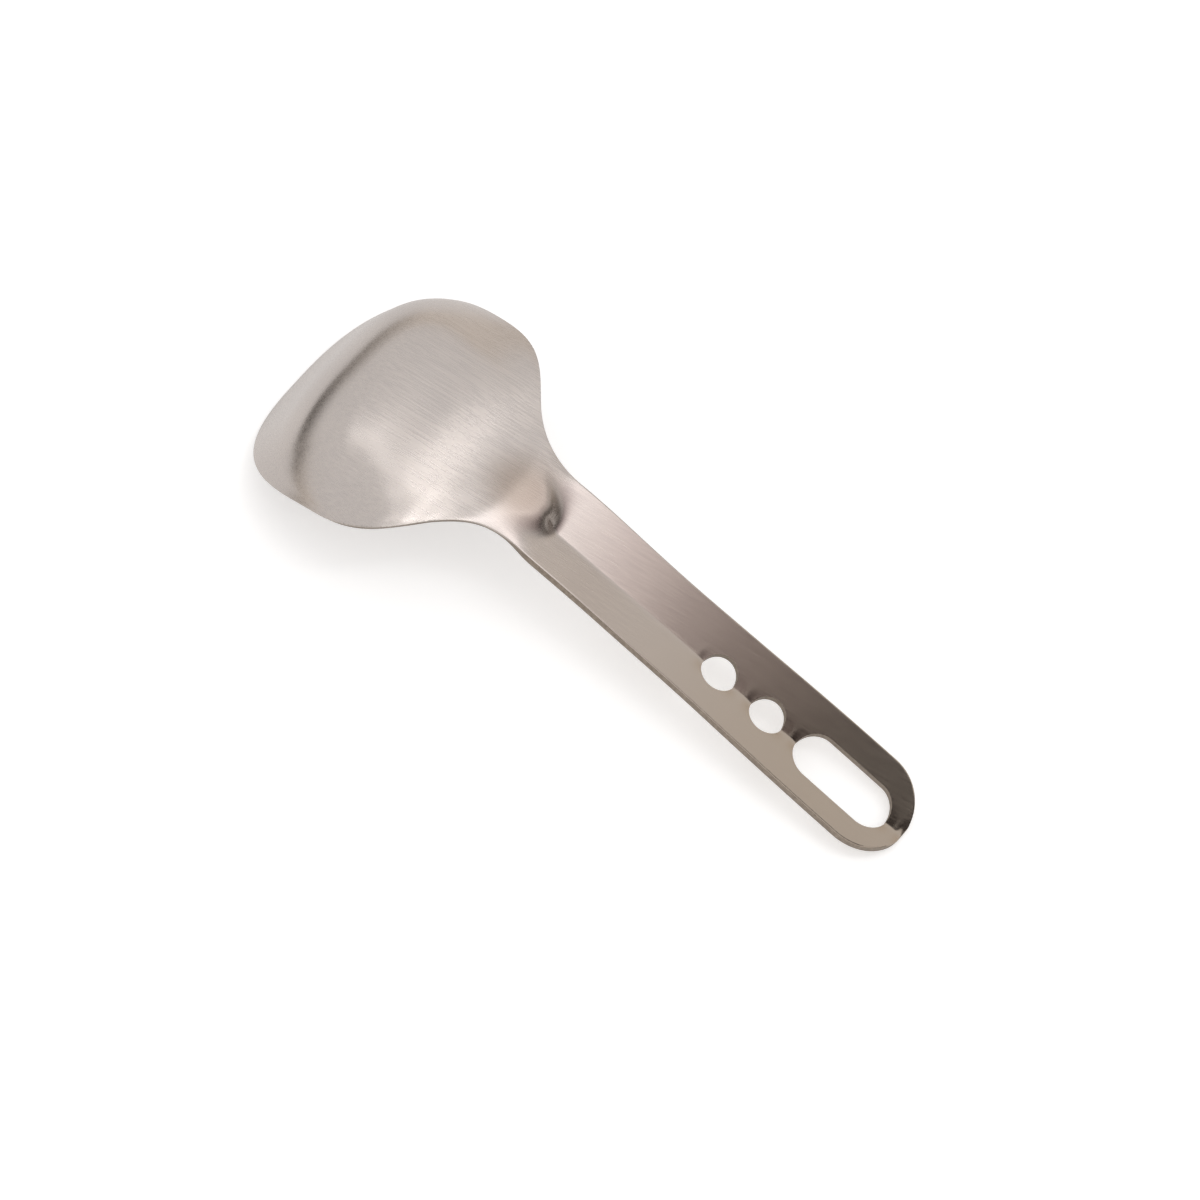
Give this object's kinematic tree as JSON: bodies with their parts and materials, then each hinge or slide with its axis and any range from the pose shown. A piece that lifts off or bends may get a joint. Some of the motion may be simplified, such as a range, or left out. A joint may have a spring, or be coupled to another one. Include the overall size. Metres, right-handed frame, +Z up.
{
  "type": "titanium spoon",
  "caption": "Short titanium ladle spoon pressed from flat sheet, with a deep scoop bowl and a folded handle that has a hanging slot and round holes.",
  "frame": {"origin": "centre of the spoon's bounding box, at the level of the surface that it lies on", "axes": "+X from the bowl's tip towards the handle's end, +Y across the bowl, +Z up: the spoon lies back up, on its tip rim and its handle's end"},
  "size_m": [0.1198, 0.0464, 0.0217],
  "materials": {
    "pressed_titanium": "satin, finely brushed bare titanium"
  },
  "bodies": {
    "root": {"spoon_sheet": "pressed_titanium"}
  },
  "joints": []
}
